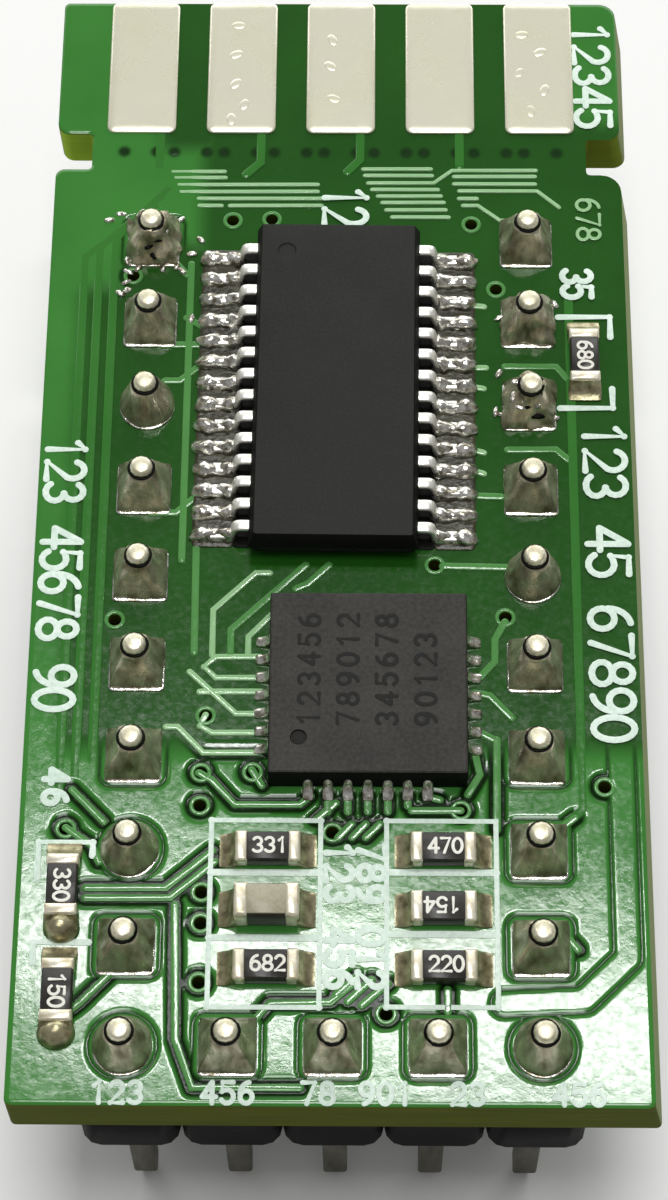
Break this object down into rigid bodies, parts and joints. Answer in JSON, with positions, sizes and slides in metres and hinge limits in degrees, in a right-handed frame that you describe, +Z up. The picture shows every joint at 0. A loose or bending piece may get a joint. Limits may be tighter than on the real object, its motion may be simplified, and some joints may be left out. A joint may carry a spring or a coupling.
{
  "type": "serial interface converter module",
  "caption": "Small green circuit board on black pin headers, with two integrated circuits, chip components and a tab of tinned edge contacts; links a logic bus to a serial line.",
  "frame": {"origin": "under the middle of the board, in the plane of the lower pin tips", "axes": "+Z up through the board, +Y along the board towards the edge-contact tab, +X to the right across it"},
  "size_m": [0.016, 0.0324, 0.0116],
  "materials": {
    "circuit_board": "green solder mask over glass-epoxy laminate, satin gloss",
    "header_plastic": "moulded black, semi-matte",
    "tinned_pin": "tin-plated square wire with soft solder cone",
    "tinned_copper": "hot-air levelled tin, slightly lumpy",
    "package_black": "epoxy moulding, fine matt with polished flank",
    "package_grey": "epoxy moulding, fine matt",
    "chip_resistor": "glass overcoat on ceramic with tinned ends",
    "chip_capacitor": "fired ceramic with tinned ends"
  },
  "bodies": {
    "root": {"pcb": "circuit_board", "header_left": "header_plastic", "header_right": "header_plastic", "header_front": "header_plastic", "pin_left_01": "tinned_pin", "pin_left_02": "tinned_pin", "pin_left_03": "tinned_pin", "pin_left_04": "tinned_pin", "pin_left_05": "tinned_pin", "pin_left_06": "tinned_pin", "pin_left_07": "tinned_pin", "pin_left_08": "tinned_pin", "pin_left_09": "tinned_pin", "pin_left_10": "tinned_pin", "pin_right_01": "tinned_pin", "pin_right_02": "tinned_pin", "pin_right_03": "tinned_pin", "pin_right_04": "tinned_pin", "pin_right_05": "tinned_pin", "pin_right_06": "tinned_pin", "pin_right_07": "tinned_pin", "pin_right_08": "tinned_pin", "pin_right_09": "tinned_pin", "pin_right_10": "tinned_pin", "pin_front_1": "tinned_pin", "pin_front_2": "tinned_pin", "pin_front_3": "tinned_pin", "edge_contact_top_1": "tinned_copper", "edge_contact_top_2": "tinned_copper", "edge_contact_top_3": "tinned_copper", "edge_contact_top_4": "tinned_copper", "edge_contact_top_5": "tinned_copper", "edge_contact_bottom_1": "tinned_copper", "edge_contact_bottom_2": "tinned_copper", "edge_contact_bottom_3": "tinned_copper", "edge_contact_bottom_4": "tinned_copper", "line_driver_ic": "package_black", "bridge_ic": "package_grey", "resistor_0603_1": "chip_resistor", "resistor_0603_2": "chip_resistor", "resistor_0603_3": "chip_resistor", "resistor_0603_4": "chip_resistor", "resistor_0603_5": "chip_resistor", "resistor_0603_6": "chip_resistor", "resistor_0603_7": "chip_resistor", "resistor_0603_8": "chip_resistor", "capacitor_0603_1": "chip_capacitor"}
  },
  "joints": []
}
